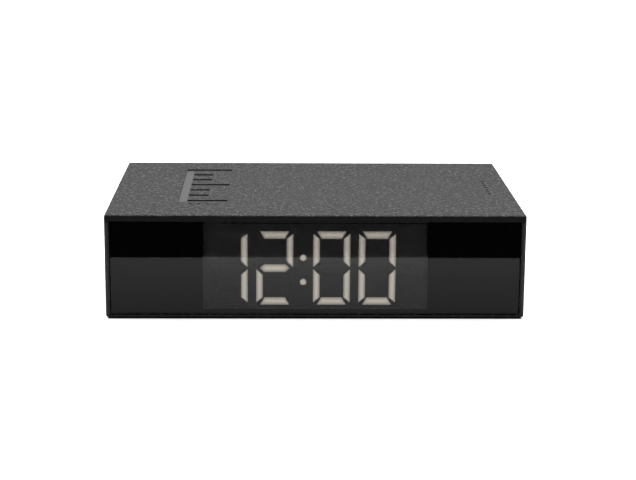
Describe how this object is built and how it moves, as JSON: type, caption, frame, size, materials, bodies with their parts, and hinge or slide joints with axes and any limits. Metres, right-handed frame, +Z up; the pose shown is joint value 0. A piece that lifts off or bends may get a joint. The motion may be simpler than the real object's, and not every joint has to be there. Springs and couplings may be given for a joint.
{
  "type": "table alarm clock",
  "caption": "Low box shaped alarm clock: lit digits behind a smoked front window, control buttons on the back, battery bay underneath.",
  "frame": {"origin": "middle of the footprint, at the height where the feet rest", "axes": "+X to the right of someone facing the display, +Y from the display to the back, +Z up"},
  "size_m": [0.144, 0.096, 0.0366],
  "materials": {
    "case_black": "fine grained, dark",
    "panel_black": "smooth matt",
    "lens_smoke": "polished, smoke tinted",
    "mask_black": "matt black foil",
    "label_grey": "satin foil, blank",
    "foot_rubber": "matt rubber",
    "screw_steel": "zinc plated",
    "reflector_grey": "matt grey",
    "film_smoke": "neutral grey film",
    "segment_lit": "diffusing cast resin, lit warm white",
    "segment_dark": "diffusing cast resin, unlit",
    "board_green": "solder mask",
    "led_yellow": "phosphor",
    "chip_black": "moulded epoxy",
    "socket_cream": "moulded nylon",
    "can_metal": "drawn can",
    "capacitor_sleeve": "shrink sleeve, dark blue",
    "ribbon_grey": "grey vinyl",
    "switch_black": "moulded",
    "contact_steel": "nickel plated",
    "knob_white": "moulded",
    "buzzer_black": "moulded",
    "usb_steel": "plated",
    "button_black": "satin",
    "cell_sleeve": "printed sleeve, plain",
    "lead_red": "vinyl",
    "lead_black": "vinyl"
  },
  "bodies": {
    "clock": {"battery_cell_1": "cell_sleeve", "battery_cell_2": "cell_sleeve", "battery_cell_3": "cell_sleeve", "battery_contacts": "contact_steel", "battery_lead_black": "lead_black", "battery_lead_red": "lead_red", "battery_socket": "socket_cream", "battery_springs": "contact_steel", "board_screws": "screw_steel", "bottom_cover": "case_black", "buzzer": "buzzer_black", "capacitors": "capacitor_sleeve", "chip_resistors": "chip_black", "clock_chip": "chip_black", "clock_crystal": "can_metal", "colon_dots": "segment_lit", "display_board": "board_green", "display_case": "reflector_grey", "display_driver": "chip_black", "display_film": "film_smoke", "display_leds": "led_yellow", "display_screws": "screw_steel", "display_socket": "socket_cream", "foot_front_left": "foot_rubber", "foot_front_right": "foot_rubber", "foot_rear_left": "foot_rubber", "foot_rear_right": "foot_rubber", "front_lens": "lens_smoke", "housing_screws": "screw_steel", "indicator_dots": "segment_dark", "lens_mask": "mask_black", "main_board": "board_green", "rating_label": "label_grey", "rear_panel": "panel_black", "regulator": "chip_black", "ribbon_cable": "ribbon_grey", "ribbon_socket": "socket_cream", "segments_dark": "segment_dark", "segments_lit": "segment_lit", "slide_switch_body": "contact_steel", "tact_switches": "switch_black", "tap_sensor": "can_metal", "top_shell": "case_black", "usb_shell": "usb_steel", "usb_tongue": "switch_black"},
    "battery_door": {"battery_door": "case_black"},
    "power_switch": {"slide_switch_knob": "knob_white"},
    "set_button": {"button_set": "button_black", "plunger_set": "switch_black"},
    "alarm_button": {"button_alarm": "button_black", "plunger_alarm": "switch_black"},
    "down_button": {"button_down": "button_black", "plunger_down": "switch_black"},
    "up_button": {"button_up": "button_black", "plunger_up": "switch_black"},
    "light_button": {"button_light": "button_black", "plunger_light": "switch_black"}
  },
  "joints": [
    {"name": "battery_door_hinge", "type": "hinge", "parent": "clock", "child": "battery_door", "pos_m": [-0.0279, 0.00185, 0.0006], "axis": [0, 1, 0], "range_deg": [0, 70]},
    {"name": "power_switch_slide", "type": "slide", "parent": "clock", "child": "power_switch", "axis": [1, 0, 0], "range_m": [0, 0.0025]},
    {"name": "set_button_press", "type": "slide", "parent": "clock", "child": "set_button", "axis": [0, -1, 0], "range_m": [0, 0.0003], "stiffness_N_per_m": 1000, "springref_m": -0.0005},
    {"name": "alarm_button_press", "type": "slide", "parent": "clock", "child": "alarm_button", "axis": [0, -1, 0], "range_m": [0, 0.0003], "stiffness_N_per_m": 1000, "springref_m": -0.0005},
    {"name": "down_button_press", "type": "slide", "parent": "clock", "child": "down_button", "axis": [0, -1, 0], "range_m": [0, 0.0003], "stiffness_N_per_m": 1000, "springref_m": -0.0005},
    {"name": "up_button_press", "type": "slide", "parent": "clock", "child": "up_button", "axis": [0, -1, 0], "range_m": [0, 0.0003], "stiffness_N_per_m": 1000, "springref_m": -0.0005},
    {"name": "light_button_press", "type": "slide", "parent": "clock", "child": "light_button", "axis": [0, -1, 0], "range_m": [0, 0.0003], "stiffness_N_per_m": 1000, "springref_m": -0.0005}
  ]
}
